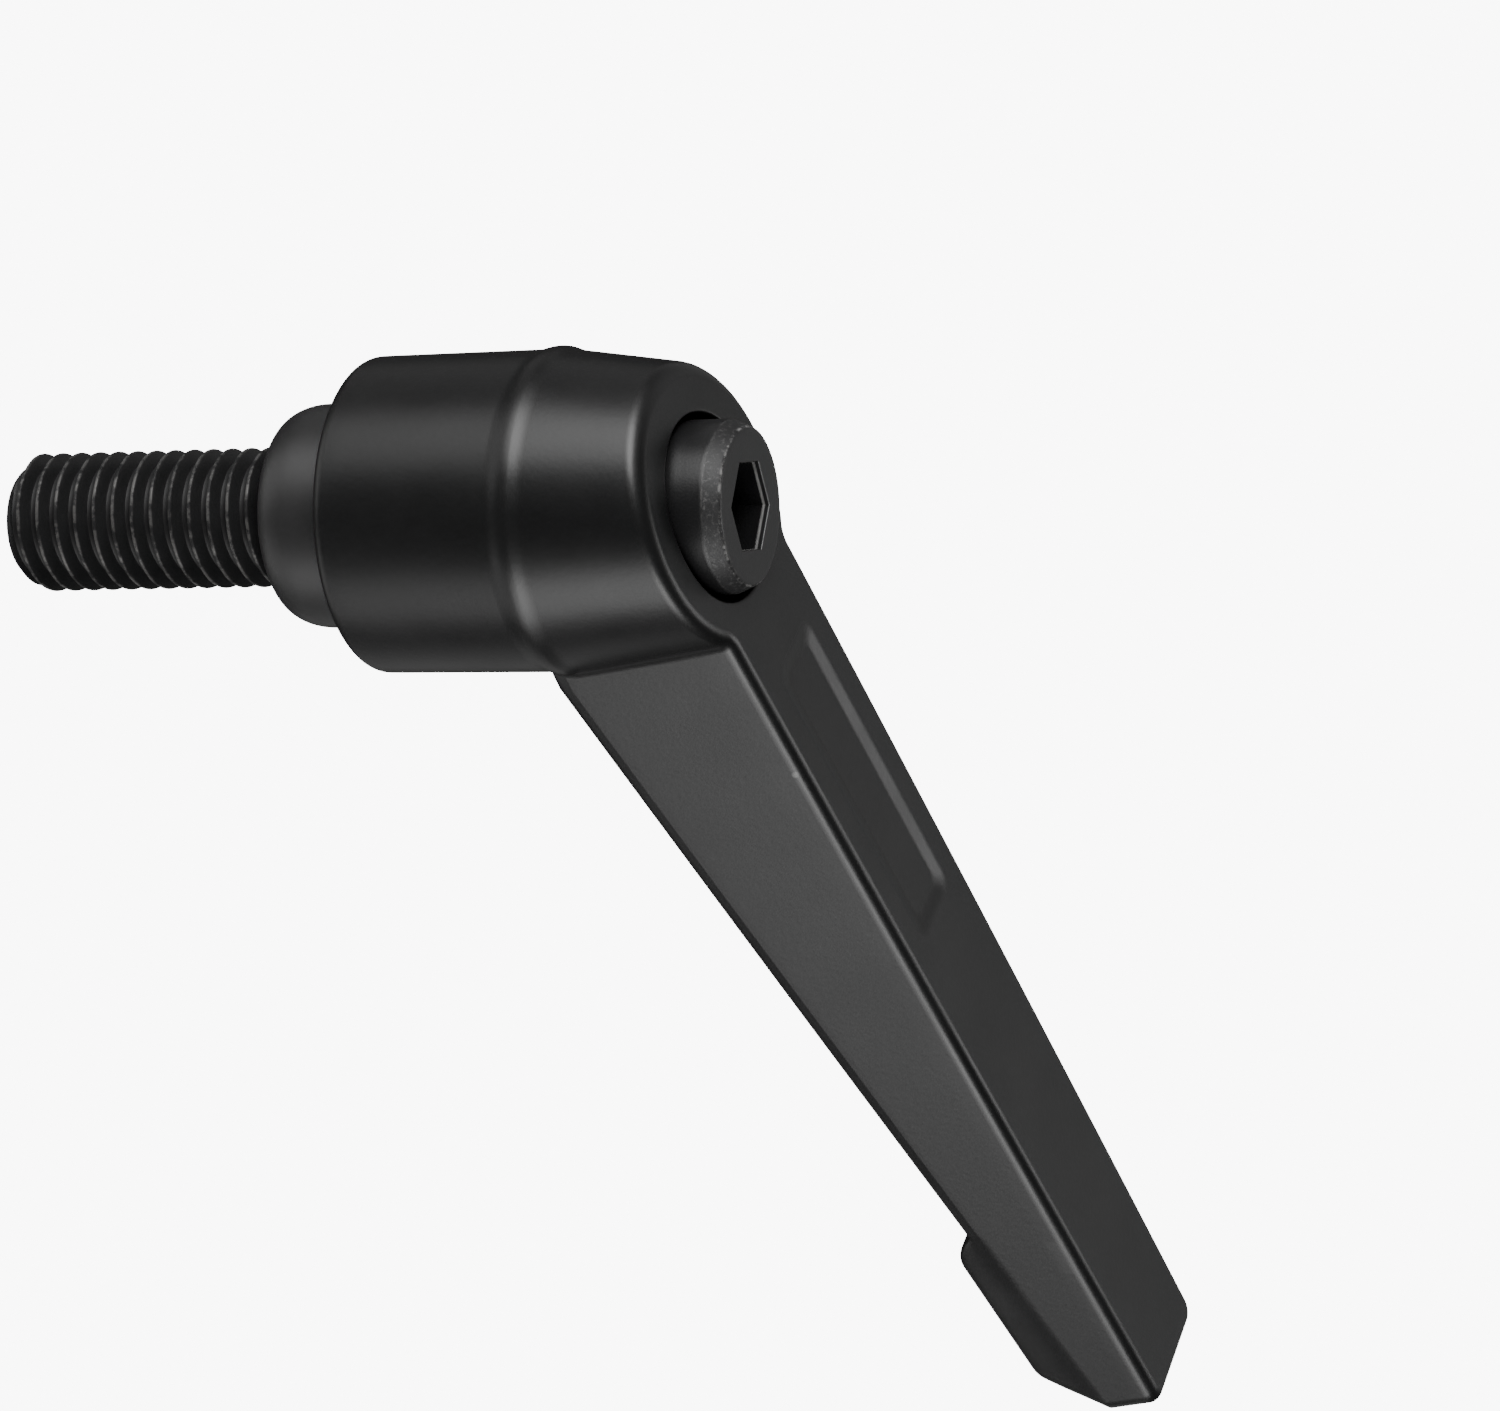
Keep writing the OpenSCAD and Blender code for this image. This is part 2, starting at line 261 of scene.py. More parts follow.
def tidy_mesh(mesh, reach=1e-5, close=False):
    """Merges doubles, drops collapsed faces, fills open ends if asked, and points the faces outwards."""
    bm = bmesh.new()
    bm.from_mesh(mesh)
    bmesh.ops.remove_doubles(bm, verts=bm.verts, dist=reach)
    bmesh.ops.dissolve_degenerate(bm, edges=bm.edges, dist=reach)
    if close:
        bmesh.ops.holes_fill(bm, edges=[e for e in bm.edges if e.is_boundary], sides=0)
    bmesh.ops.recalc_face_normals(bm, faces=bm.faces)
    bm.to_mesh(mesh)
    bm.free()
    return mesh


def mesh_from(name, points, faces):
    mesh = bpy.data.meshes.new(name)
    mesh.from_pydata(points, [], faces)
    return tidy_mesh(mesh)


def solid_from_loops(name, loops):
    """A solid from loops of equally many points, joined one to the next and filled at both ends."""
    count = len(loops[0])
    faces = []
    for j in range(len(loops) - 1):
        for i in range(count):
            a, b = j * count + i, j * count + (i + 1) % count
            faces.append((a, b, b + count, a + count))
    faces.append(tuple(reversed(range(count))))
    faces.append(tuple((len(loops) - 1) * count + i for i in range(count)))
    return mesh_from(name, [p for loop in loops for p in loop], faces)


def turned(name, profile, segments=ROUND):
    """A solid turned about Z from (radius, height) points that run from the axis round to the axis."""
    points, faces, rings = [], [], []
    for r, z in profile:
        if r < 1e-6:
            rings.append([len(points)])
            points.append((0, 0, z))
        else:
            rings.append(list(range(len(points), len(points) + segments)))
            points += [polar(r, 2 * math.pi * k / segments, z) for k in range(segments)]
    for low, high in zip(rings, rings[1:]):
        for k in range(segments):
            n = (k + 1) % segments
            if len(low) == 1:
                faces.append((low[0], high[n], high[k]))
            elif len(high) == 1:
                faces.append((low[k], low[n], high[0]))
            else:
                faces.append((low[k], low[n], high[n], high[k]))
    return mesh_from(name, points, faces)


def join_mesh(mesh, other):
    """Adds the other mesh's faces to the first one."""
    bm = bmesh.new()
    bm.from_mesh(mesh)
    bm.from_mesh(other)
    bm.to_mesh(mesh)
    bm.free()
    bpy.data.meshes.remove(other)


def scratch_object(mesh):
    piece = bpy.data.objects.new(mesh.name, mesh)
    bpy.context.scene.collection.objects.link(piece)
    return piece


def cut_or_join(piece, tool_mesh, operation):
    """Joins a solid to the piece, or cuts it away, and keeps the result as the piece's own mesh."""
    tool = scratch_object(tool_mesh)
    step = piece.modifiers.new(operation.title(), "BOOLEAN")
    step.operation = operation
    step.object = tool
    step.solver = "EXACT"
    bpy.context.view_layer.update()
    graph = bpy.context.evaluated_depsgraph_get()
    result = bpy.data.meshes.new_from_object(piece.evaluated_get(graph))
    piece.modifiers.clear()
    old = piece.data
    piece.data = result
    bpy.data.meshes.remove(old)
    bpy.data.objects.remove(tool)


def finished(name, mesh, material, body, node, edge_angle=EDGE_ANGLE, weighted=True):
    """A finished piece: mesh in metres, material, shading, body and the CAD node that it stands for."""
    mesh.transform(Matrix.Scale(MM, 4))
    mesh.name = name
    mesh.materials.clear()
    mesh.materials.append(material)
    mesh.shade_smooth()
    mesh.set_sharp_from_angle(angle=math.radians(edge_angle))
    piece = scratch_object(mesh)
    if weighted:
        weigh = piece.modifiers.new("Weighted normals", "WEIGHTED_NORMAL")
        weigh.keep_sharp = True
        weigh.weight = FACE_WEIGHT
    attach(piece, body)
    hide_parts(node)
    return piece


# Handle: a row is one level of its skin, as (share of the side, share of the underside, inset, drop)


def top_z(x):
    return AXIS_TOP_Z + x * TOP_TAN


def part_z(x):
    """Height of the parting line: level round the hub, and straight along the arm."""
    return PARTING_Z + (x - ROOT_X) * UNDER_TAN * min(1.0, max(0.0, (x - JOIN_X) / JOIN_W))


def nub_depth(x):
    if x <= NUB_X:
        return 0.0
    if x < RAMP_X:
        return NUB_DROP * math.sin(math.pi / 2 * (x - NUB_X) / NUB_RAMP)
    return NUB_DROP + NUB_FALL * (x - RAMP_X) / (TAIL_X - RAMP_X)


def under_z(x):
    return part_z(x) - LIP_H - nub_depth(x)


def row_z(x, row):
    top, under, _, drop = row
    if top > 0:
        return mix(top_z(x) - drop, part_z(x), 1 - top)
    if under > 0:
        return mix(part_z(x), under_z(min(x, TAIL_X)) + drop, under)
    return part_z(x)


def hub_wall(z):
    return WALL_R - max(0.0, z - PARTING_Z) * TAPER_TAN - max(0.0, PARTING_Z - z) * LIP_TAN


def hub_radius(angle, row):
    """Radius of the hub at this angle and level, whose height changes with the radius itself."""
    r = WALL_R
    for _ in range(5):
        r = hub_wall(row_z(r * math.cos(angle), row)) - row[2]
    return r


def arm_half(x):
    t = x / ARM_REACH
    return mix(ARM_ROOT_W, ARM_TIP_W, t) / 2 + 2 * ARM_BOW * t * (1 - t)


def side_y(x, row):
    z, part = row_z(x, row), part_z(x)
    below = max(0.0, part - z)
    lip = min(below, LIP_H) * LIP_TAN + max(0.0, below - LIP_H) * NUB_TAN
    return arm_half(x) + (top_z(x) - max(z, part)) * SIDE_TAN - lip - row[2]


def end_x(row):
    top, under, inset, drop = row
    if under > 0:
        share = mix(1.0, drop / (LIP_H + NUB_DROP + NUB_FALL), under)
        return TAIL_X + share * NUB_TAIL - inset
    if top > 0:
        return ARM_REACH + mix(drop, ARM_TIP_DEPTH, 1 - top) * END_TAN - inset
    return ARM_REACH + ARM_TIP_DEPTH * END_TAN - inset


def half_outline(row):
    """Half of one level of the handle: hub, fillet, arm side and corner."""
    fillet = FILLET_R + row[2]
    centre_y = side_y(FILLET_X, row) + fillet
    centre_x = math.sqrt((hub_radius(FILLET_ANGLE, row) + fillet) ** 2 - centre_y**2)
    start = math.atan2(centre_y, centre_x)
    corner = TIP_R - row[2] / 2
    turn_x = end_x(row) - corner
    points = []
    for k in range(HUB_STEPS):
        a = mix(math.pi, start, k / HUB_STEPS)
        points.append(polar(hub_radius(a, row), a))
    points += arc((centre_x, centre_y), (fillet, fillet), math.pi + start, 1.5 * math.pi, FILLET_STEPS)
    along = spread(centre_x, NUB_X, ARM_STEPS) + spread(NUB_X, RAMP_X, RAMP_STEPS)
    along += spread(RAMP_X, turn_x - 0.05, NUB_STEPS)
    points += [(x, side_y(x, row)) for x in along]
    points += arc((turn_x, side_y(turn_x, row) - corner), (corner, corner), math.pi / 2, 0.0, TIP_STEPS)
    return [(x, y, row_z(x, row)) for x, y in points]


def whole_outline(row):
    half = half_outline(row)
    return half + [(x, -y, z) for x, y, z in reversed(half[1:])]


def rounded_edge(radius):
    """Inset and drop of each level round an edge, from the flat face to the side."""
    turns = [math.pi / 2 * (1 - k / EDGE_STEPS) for k in range(EDGE_STEPS + 1)]
    return [(radius * (1 - math.cos(a)), radius * (1 - math.sin(a))) for a in turns]


def handle_skin():
    """Upper hub, arm and nub as one skin of levels, from the top face down to the underside."""
    levels = [(1.0, 0.0, *bend) for bend in rounded_edge(EDGE_R)]
    levels += [(share, 0.0, 0.0, EDGE_R) for share in SIDE_SHARES]
    levels.append((0.0, 0.0, 0.0, 0.0))
    levels += [(0.0, share, 0.0, UNDER_R) for share in LIP_SHARES]
    levels += [(0.0, 1.0, *bend) for bend in reversed(rounded_edge(UNDER_R))]
    loops = [whole_outline(level) for level in levels]
    count, half = len(loops[0]), (len(loops[0]) - 1) // 2
    faces = []
    for j in range(len(loops) - 1):
        for i in range(count):
            a, b = j * count + i, j * count + (i + 1) % count
            faces.append((a, a + count, b + count, b))
    faces.append(tuple(range(count)))
    # The underside is filled by strips from one side of the arm to the other
    low = (len(loops) - 1) * count
    for i in range(half):
        a, b, c, d = low + i, low + i + 1, low + count - i - 1, low + (count - i) % count
        faces.append((a, c, b) if i == 0 else (a, d, c, b))
    return mesh_from("handle_skin", [p for loop in loops for p in loop], faces)


def lower_hub():
    """Lower hub with its rounded edge, its draft and the soft ridge, up to the top of the ridge."""
    low, high = CREST_Z - RIDGE_W / 2, CREST_Z + RIDGE_W / 2
    edge = HUB_EDGE_R
    profile = [(0.0, HUB_Z)] + arc((HUB_R - edge, HUB_Z + edge), (edge, edge), -math.pi / 2, 0.0, 10)
    profile += [(HUB_R + (z - HUB_Z) * DRAFT_TAN, z) for z in np.linspace(HUB_Z + 2 * edge, low, 6)]
    for k in range(1, RIDGE_STEPS + 1):
        z = mix(low, high, k / RIDGE_STEPS)
        wall = HUB_R + (min(z, PARTING_Z) - HUB_Z) * DRAFT_TAN - max(0.0, z - PARTING_Z) * TAPER_TAN
        swell = RIDGE_H * (1 - math.cos(2 * math.pi * k / RIDGE_STEPS)) / 2
        profile.append((wall + swell + RIDGE_PROUD, z))
    # The lid lies inside the skin
    lid_z = high + 0.02
    profile += [(profile[-1][0] - 0.4, lid_z), (0.0, lid_z)]
    return turned("lower_hub", profile, ROUND_FINE)


def guide_bore():
    open_z, wide_r = HUB_Z - 1.0, GUIDE_R + GUIDE_EDGE
    profile = [(0.0, open_z), (wide_r, open_z), (wide_r, HUB_Z), (GUIDE_R, HUB_Z + GUIDE_EDGE)]
    return turned("guide_bore", profile + [(GUIDE_R, TOOTH_Z), (0.0, TOOTH_Z)])


def tooth_pocket():
    """Cutter for the handle's ring of teeth, with flat tips and roots and a gap to the insert's teeth."""
    root_r, tip_r = TOOTH_ROOT_R + TOOTH_GAP, TOOTH_TIP_R + TOOTH_GAP
    pitch = 360 / TOOTH_COUNT
    tip = TOOTH_FLAT / 2 * pitch + math.degrees(TOOTH_GAP / tip_r) * FLANK_SHARE
    root = tip + (0.5 - TOOTH_FLAT) * pitch
    corners = [(root_r, -root), (tip_r, -tip), (tip_r, tip), (root_r, root)]
    loops = []
    for z in (TOOTH_Z - OVERLAP, INSERT_TOP):
        turns = [(r, math.radians(k * pitch + turn)) for k in range(TOOTH_COUNT) for r, turn in corners]
        loops.append([polar(r, a, z) for r, a in turns])
    return solid_from_loops("tooth_pocket", loops)


def web_hole():
    low, high = INSERT_TOP - OVERLAP, WEB_TOP + OVERLAP
    return turned("web_hole", [(0.0, low), (WEB_HOLE_R, low), (WEB_HOLE_R, high), (0.0, high)])


def sloping_loops(plan, levels):
    """Loops along the sloping top face. A level is the argument of its plan and its height over the face."""
    return [[(x, y, top_z(x) + height) for x, y in plan(argument)] for argument, height in levels]


def bore_plan(offset):
    return [polar(BORE_R + offset, 2 * math.pi * k / ROUND) for k in range(ROUND)]


def counterbore():
    """Cutter for the counterbore, with a softly rounded rim."""
    levels = [(BORE_RIM_R + OVERLAP, CUT_ABOVE)]
    for k in range(BORE_RIM_STEPS + 1):
        a = math.pi / 2 * k / BORE_RIM_STEPS
        levels.append((BORE_RIM_R * (1 - math.sin(a)), BORE_RIM_R * (math.cos(a) - 1)))
    loops = sloping_loops(bore_plan, levels)
    loops.append([(x, y, WEB_TOP) for x, y in bore_plan(0.0)])
    return solid_from_loops("counterbore", loops)


def recess_plan(share):
    """Plan of the shallow recess, from its upper edge at 0 to its floor at 1."""
    level = math.cos(math.radians(TOP_SLOPE))
    r = mix(RECESS_R, RECESS_FLOOR_R, share)
    near = RECESS_START * level + RECESS_END_WALL * share + r
    far = (RECESS_START + RECESS_LEN) * level - RECESS_END_WALL * share - r
    near_y = RECESS_W / 2 - RECESS_WALL * share - r
    far_y = RECESS_END_W / 2 - RECESS_WALL * share - r
    corners = [(far, far_y), (near, near_y), (near, -near_y), (far, -far_y)]
    points = []
    for k, corner in enumerate(corners):
        points += arc(corner, (r, r), math.pi / 2 * k, math.pi / 2 * (k + 1), 10)
    return points


def recess():
    """Cutter for the shallow recess, whose walls bend softly into the top face and the floor."""
    levels = [(-0.03, CUT_ABOVE)]
    for k in range(RECESS_STEPS + 1):
        t = k / RECESS_STEPS
        levels.append((t, -RECESS_DEPTH * t * t * (3 - 2 * t)))
    return solid_from_loops("recess", sloping_loops(recess_plan, levels))


def build_handle(material):
    """The casting: hub, arm and nub in one, with all that is hollow in it."""
    body = scratch_object(handle_skin())
    cut_or_join(body, lower_hub(), "UNION")
    for cutter in (guide_bore, tooth_pocket, web_hole, counterbore, recess):
        cut_or_join(body, cutter(), "DIFFERENCE")
    mesh = body.data.copy()
    bpy.data.objects.remove(body)
    return finished("handle_casting", mesh, material, "handle", "handle")


# Node helpers


class NodeBench:
    """A short way to lay out nodes in a geometry or shader tree."""

    def __init__(self, tree):
        self.tree = tree

    def node(self, kind, settings=None, **inputs):
        made = self.tree.nodes.new(kind)
        for key, value in (settings or {}).items():
            setattr(made, key, value)
        for key, value in inputs.items():
            self.feed(made.inputs[key.replace("_", " ")], value)
        return made

    def feed(self, socket, value):
        if isinstance(value, bpy.types.NodeSocket):
            self.tree.links.new(value, socket)
        else:
            socket.default_value = value

    def maths(self, operation, *values):
        made = self.node("ShaderNodeMath", {"operation": operation})
        for k, value in enumerate(values):
            self.feed(made.inputs[k], value)
        return made.outputs[0]

    def ramp(self, value, low, high, out_low=0.0, out_high=1.0, kind="LINEAR"):
        """out_low up to low, out_high from high on, and a slope between them."""
        made = self.node("ShaderNodeMapRange", {"interpolation_type": kind}, Value=value, From_Min=low,
                         From_Max=high, To_Min=out_low, To_Max=out_high)
        return made.outputs[0]

    def polar(self, r, angle, z):
        """The point at this radius, angle and height."""
        x = self.maths("MULTIPLY", r, self.maths("COSINE", angle))
        y = self.maths("MULTIPLY", r, self.maths("SINE", angle))
        return self.node("ShaderNodeCombineXYZ", X=x, Y=y, Z=z).outputs[0]

    def between(self, value, low, high):
        return self.maths("MINIMUM", self.maths("MAXIMUM", value, low), high)


def geometry_tree(name, sizes, counts=()):
    """A geometry tree with these inputs. Returns the tree, its bench, the inputs' values and its output."""
    tree = bpy.data.node_groups.new(name, "GeometryNodeTree")
    tree.interface.new_socket("Geometry", in_out="OUTPUT", socket_type="NodeSocketGeometry")
    for labels, kind in ((sizes, "NodeSocketFloat"), (counts, "NodeSocketInt")):
        for label in labels:
            tree.interface.new_socket(label, in_out="INPUT", socket_type=kind)
    given = tree.nodes.new("NodeGroupInput")
    return tree, NodeBench(tree), given.outputs, tree.nodes.new("NodeGroupOutput")


def end_of_tree(bench, geometry, output, material):
    """Every tree ends in real geometry with its material set."""
    real = bench.node("GeometryNodeRealizeInstances", Geometry=geometry)
    painted = bench.node("GeometryNodeSetMaterial", Geometry=real.outputs[0], Material=material)
    bench.feed(output.inputs[0], painted.outputs[0])


def mesh_from_tree(tree, values):
    """Runs a geometry tree with these named values and returns its result as a plain mesh."""
    carrier = scratch_object(bpy.data.meshes.new(tree.name))
    step = carrier.modifiers.new(tree.name, "NODES")
    step.node_group = tree
    for item in tree.interface.items_tree:
        if item.item_type == "SOCKET" and item.in_out == "INPUT":
            step[item.identifier] = values[item.name]
    bpy.context.view_layer.update()
    graph = bpy.context.evaluated_depsgraph_get()
    mesh = bpy.data.meshes.new_from_object(carrier.evaluated_get(graph))
    carrier.modifiers.clear()
    bpy.data.objects.remove(carrier)
    return mesh


# Stud


def thread_tree(material):
    """A threaded tube: a grid wrapped round the axis, whose rows follow the helix of the thread."""
    sizes = ("Crest radius", "Root radius", "Pitch", "Start", "Lowest", "Highest", "Chamfer", "Mouth")
    tree, bench, given, output = geometry_tree("Screw thread", sizes, ("Segments", "Rows"))
    maths = bench.maths
    crest_r = given["Crest radius"]
    grid = bench.node("GeometryNodeMeshGrid", Size_X=1.0, Size_Y=1.0)
    bench.feed(grid.inputs["Vertices X"], maths("ADD", given["Segments"], 1.0))
    bench.feed(grid.inputs["Vertices Y"], maths("ADD", given["Rows"], 1.0))
    place = bench.node("GeometryNodeInputPosition")
    parts = bench.node("ShaderNodeSeparateXYZ", Vector=place.outputs[0])
    turn = maths("ADD", parts.outputs["X"], 0.5)
    row = maths("ROUND", maths("MULTIPLY", maths("ADD", parts.outputs["Y"], 0.5), given["Rows"]))
    turns_up = maths("DIVIDE", row, THREAD_ROWS)
    flat_z = maths("MULTIPLY_ADD", maths("SUBTRACT", turns_up, THREAD_LEAD), given["Pitch"], given["Start"])
    z = bench.between(maths("MULTIPLY_ADD", turn, given["Pitch"], flat_z), given["Lowest"], given["Highest"])
    # 0 at a crest's middle and 1 at a root's middle
    away = maths("MULTIPLY", maths("PINGPONG", turns_up, 0.5), 2.0)
    soft = bench.ramp(away, 0.06, 0.86, kind="SMOOTHSTEP")
    straight = bench.ramp(away, 0.11, 0.76)
    share = maths("MULTIPLY_ADD", soft, FLANK_SOFT, maths("MULTIPLY", straight, 1 - FLANK_SOFT))
    depth = maths("SUBTRACT", crest_r, given["Root radius"])
    thread_r = maths("SUBTRACT", crest_r, maths("MULTIPLY", share, depth))
    end_r = maths("ADD", maths("SUBTRACT", crest_r, given["Chamfer"]), maths("SUBTRACT", z, given["Lowest"]))
    run_out = maths("MULTIPLY", maths("SUBTRACT", z, given["Mouth"]), RUN_OUT)
    r = maths("MINIMUM", maths("MINIMUM", thread_r, end_r), maths("SUBTRACT", crest_r, run_out))
    point = bench.polar(r, maths("MULTIPLY", turn, 2 * math.pi), z)
    wrapped = bench.node("GeometryNodeSetPosition", Geometry=grid.outputs["Mesh"], Position=point)
    end_of_tree(bench, wrapped.outputs[0], output, material)
    return tree


def build_stud(material):
    """Threaded rod with a chamfered end. The thread runs out at the insert, over a height like its depth."""
    top = THREAD_DEPTH
    root_r = STUD_D / 2 - THREAD_DEPTH
    turns = math.ceil((STUD_LEN + top) / THREAD_PITCH) + THREAD_LEAD + 1
    mesh = mesh_from_tree(
        thread_tree(material),
        {
            "Crest radius": STUD_D / 2,
            "Root radius": root_r,
            "Pitch": THREAD_PITCH,
            "Start": THREAD_START,
            "Lowest": -STUD_LEN,
            "Highest": top,
            "Chamfer": STUD_CHAMFER,
            "Mouth": 0.0,
            "Segments": THREAD_SEGMENTS,
            "Rows": THREAD_ROWS * turns,
        },
    )
    tidy_mesh(mesh, 2e-4, close=True)
    plug_r, low = root_r - 0.02, top - 0.3
    held = [(0.0, low), (plug_r, low), (plug_r, top), (STUD_HELD_R, top + STUD_EDGE)]
    held += [(STUD_HELD_R, STUD_BITE - STUD_EDGE), (STUD_HELD_R - STUD_EDGE, STUD_BITE), (0.0, STUD_BITE)]
    join_mesh(mesh, turned("held_end", held, ROUND_SMALL))
    return finished("threaded_rod", mesh, material, "insert", "threaded_stud",
                    edge_angle=40, weighted=False)


# Toothed insert


def tooth_tree(material):
    """Teeth round the insert: one tooth, instanced about the axis and made real."""
    sizes = ("Root width", "Tip width", "Root radius", "Tip radius", "Foot", "Length")
    tree, bench, given, output = geometry_tree("Tooth ring", sizes, ("Count",))
    maths = bench.maths
    height = maths("SUBTRACT", given["Tip radius"], given["Root radius"])
    shape = bench.node("GeometryNodeCurvePrimitiveQuadrilateral", {"mode": "TRAPEZOID"}, Height=height,
                       Bottom_Width=given["Root width"], Top_Width=given["Tip width"], Offset=0.0)
    face = bench.node("GeometryNodeFillCurve", Curve=shape.outputs[0])
    up = bench.node("ShaderNodeCombineXYZ", Z=given["Length"])
    raised = bench.node("GeometryNodeExtrudeMesh", {"mode": "FACES"}, Mesh=face.outputs[0],
                        Offset=up.outputs[0], Offset_Scale=1.0)
    under = bench.node("GeometryNodeFlipFaces", Mesh=face.outputs[0])
    both = bench.node("GeometryNodeJoinGeometry")
    for half in (raised, under):
        tree.links.new(half.outputs[0], both.inputs[0])
    middle = maths("MULTIPLY", maths("ADD", given["Tip radius"], given["Root radius"]), 0.5)
    out = bench.node("ShaderNodeCombineXYZ", Y=middle, Z=given["Foot"])
    moved = bench.node("GeometryNodeTransform", Geometry=both.outputs[0], Translation=out.outputs[0])
    marks = bench.node("GeometryNodePoints", Count=given["Count"])
    index = bench.node("GeometryNodeInputIndex")
    step = maths("DIVIDE", 2 * math.pi, given["Count"])
    # A quarter turn puts the first tooth on the X axis
    turn = maths("MULTIPLY_ADD", index.outputs[0], step, -math.pi / 2)
    spin = bench.node("ShaderNodeCombineXYZ", Z=turn)
    ring = bench.node("GeometryNodeInstanceOnPoints", Points=marks.outputs[0], Instance=moved.outputs[0],
                      Rotation=spin.outputs[0])
    end_of_tree(bench, ring.outputs[0], output, material)
    return tree


def build_insert(material):
    """Boss, guide collar and toothed neck, threaded from both ends, with its ring of teeth."""
    stud_r, screw_r = STUD_HELD_R + THREAD_GAP, SCREW_HELD_R + THREAD_GAP
    floor_z = STUD_BITE + INSERT_FLOOR
    profile = [(0.0, STUD_BITE), (stud_r, STUD_BITE), (stud_r, MOUTH_R - STUD_HELD_R), (MOUTH_R, 0.0)]
    profile += arc((BOSS_R - BOSS_EDGE_W, BOSS_EDGE_H), (BOSS_EDGE_W, BOSS_EDGE_H), -math.pi / 2, 0.0, 14)
    profile += [(BOSS_R, z) for z in np.linspace(BOSS_EDGE_H + 1.0, TOOTH_Z - COLLAR_EDGE, 5)]
    profile += [(BOSS_R - COLLAR_EDGE, TOOTH_Z), (TOOTH_ROOT_R, TOOTH_Z), (TOOTH_ROOT_R, INSERT_TOP)]
    profile += [(screw_r, INSERT_TOP), (screw_r, floor_z), (0.0, floor_z)]
    mesh = turned("insert_body", profile, ROUND_FINE)
    pitch = 2 * math.pi / TOOTH_COUNT
    teeth = mesh_from_tree(
        tooth_tree(material),
        {
            "Root width": TOOTH_ROOT_R * pitch * (1 - TOOTH_FLAT),
            "Tip width": TOOTH_TIP_R * pitch * TOOTH_FLAT,
            "Root radius": TOOTH_ROOT_R - OVERLAP,
            "Tip radius": TOOTH_TIP_R,
            "Foot": TOOTH_Z - OVERLAP,
            "Length": INSERT_TOP - TOOTH_Z + OVERLAP,
            "Count": TOOTH_COUNT,
        },
    )
    join_mesh(mesh, tidy_mesh(teeth))
    return finished("toothed_bush", mesh, material, "insert", "toothed_insert")


# Retaining screw


def screw_loop(size, z, hexagon=False):
    """A circle of this radius, or a hexagon of this width across flats, with as many points."""
    loop = []
    for k in range(ROUND_SMALL):
        turn = 360 * k / ROUND_SMALL
        r = size / 2 / math.cos(math.radians(turn % 60 - 30)) if hexagon else size
        loop.append(polar(r, math.radians(HEX_TURN + turn), z))
    return loop


def build_screw(material):
    """Shoulder screw: threaded end, shank, head with a soft chamfer, and a hex socket with a small step."""
    end_z, bend_z = STUD_BITE + INSERT_FLOOR, FACE_Z - HEAD_CHAMFER_H
    step_z, floor_z = FACE_Z - HEX_STEP, FACE_Z - HEX_DEPTH
    rim_r = HEAD_R - HEAD_CHAMFER_W
    rounds = [(SCREW_HELD_R - END_EDGE, end_z), (SCREW_HELD_R, end_z + END_EDGE), (SCREW_HELD_R, INSERT_TOP)]
    rounds += [(SHANK_R, INSERT_TOP), (SHANK_R, HEAD_Z)]
    rounds += [(HEAD_R - HEAD_EDGE, HEAD_Z), (HEAD_R, HEAD_Z + HEAD_EDGE)]
    rounds += [(HEAD_R, z) for z in np.linspace(HEAD_Z + 1, bend_z - 0.25, 4)]
    # Close rings on both sides of the chamfer make its edges soft
    low_r, low_z = HEAD_R - 0.08, bend_z + 0.12
    rounds += [(HEAD_R - 0.02, bend_z - 0.05), (low_r, low_z)]
    rounds += [(mix(low_r, rim_r + 0.05, t), mix(low_z, FACE_Z - 0.22, t)) for t in (0.33, 0.66, 1.0)]
    rounds += [(rim_r - 0.04, FACE_Z - 0.07), (rim_r - 0.16, FACE_Z)]
    rounds += [(r, FACE_Z) for r in FACE_RINGS]
    hexagons = [(HEX_AF + 0.06, FACE_Z)]
    hexagons += [(HEX_AF, z) for z in (FACE_Z - 0.05, FACE_Z - 0.07, step_z + 0.02, step_z)]
    inner = (step_z - 0.12, step_z - 0.14, FACE_Z - HEX_DEPTH / 2, floor_z + 0.05)
    hexagons += [(HEX_INNER_AF, z) for z in inner]
    hexagons.append((HEX_AF * 0.9, floor_z))
    loops = [screw_loop(r, z) for r, z in rounds]
    loops += [screw_loop(flats, z, hexagon=True) for flats, z in hexagons]
    loops.append(screw_loop(FLOOR_RING, floor_z))
    mesh = solid_from_loops("screw", loops)
    return finished("shoulder_screw", mesh, material, "insert", "retaining_screw",
                    edge_angle=38)


# Return spring


